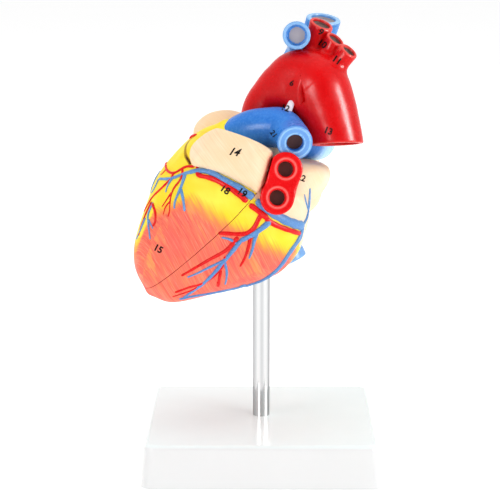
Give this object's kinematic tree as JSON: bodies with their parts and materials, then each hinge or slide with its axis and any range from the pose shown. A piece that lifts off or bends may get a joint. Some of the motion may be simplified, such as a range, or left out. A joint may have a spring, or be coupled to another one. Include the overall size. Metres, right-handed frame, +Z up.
{
  "type": "human heart anatomy model",
  "caption": "Life-size anatomical heart with painted great vessels and coronary vessels, opened by a lift-off front wall, standing on a chromed rod in a square base.",
  "frame": {"origin": "centre of the base's underside, on the support rod's axis", "axes": "+Z up along the rod, -X towards the heart's front (anterior) side, -Y towards its left side, +Y towards its right side"},
  "size_m": [0.1252, 0.12, 0.2295],
  "materials": {
    "base_white": "smooth gloss moulding",
    "base_plate_white": "satin moulding",
    "screw_steel": "zinc plated",
    "chrome_tube": "polished",
    "sleeve_brass": "turned",
    "heart_muscle": "hand painted, satin to gloss",
    "atrium_cream": "hand painted, satin to gloss",
    "artery_red": "gloss paint",
    "vein_blue": "gloss paint",
    "ligament_white": "gloss paint",
    "valve_ivory": "satin paint",
    "magnet_nickel": "nickel plated"
  },
  "bodies": {
    "stand": {"base_shell": "base_white", "base_plate": "base_plate_white", "base_screws": "screw_steel"},
    "rod": {"support_rod": "chrome_tube"},
    "heart_rear": {"rear_heart_left": "heart_muscle", "rear_heart_right": "heart_muscle", "rod_sleeve": "sleeve_brass", "ascending_aorta": "artery_red", "aortic_arch": "artery_red", "pulmonary_trunk": "vein_blue", "ligamentum_arteriosum": "ligament_white", "superior_vena_cava": "vein_blue", "inferior_vena_cava": "vein_blue", "left_pulmonary_veins": "artery_red", "right_pulmonary_veins": "artery_red", "right_auricle": "atrium_cream", "mitral_valve": "valve_ivory", "tricuspid_valve": "valve_ivory", "aortic_valve": "valve_ivory", "pulmonary_valve": "valve_ivory", "left_papillary_muscles": "heart_muscle", "right_papillary_muscles": "heart_muscle", "rear_magnets": "magnet_nickel"},
    "heart_front": {"front_wall_left": "heart_muscle", "front_wall_right": "heart_muscle", "left_auricle": "atrium_cream", "front_magnets": "magnet_nickel"}
  },
  "joints": [
    {"name": "rod_turn", "type": "hinge", "parent": "stand", "child": "rod", "pos_m": [0, 0, 0], "axis": [0, 0, 1], "continuous": true},
    {"name": "heart_lift", "type": "slide", "parent": "rod", "child": "heart_rear", "axis": [0, 0, 1], "range_m": [0, 0.03]},
    {"name": "front_wall_off", "type": "slide", "parent": "heart_rear", "child": "heart_front", "axis": [-0.8016, -0.5812, 0.1403], "range_m": [0, 0.08]}
  ]
}
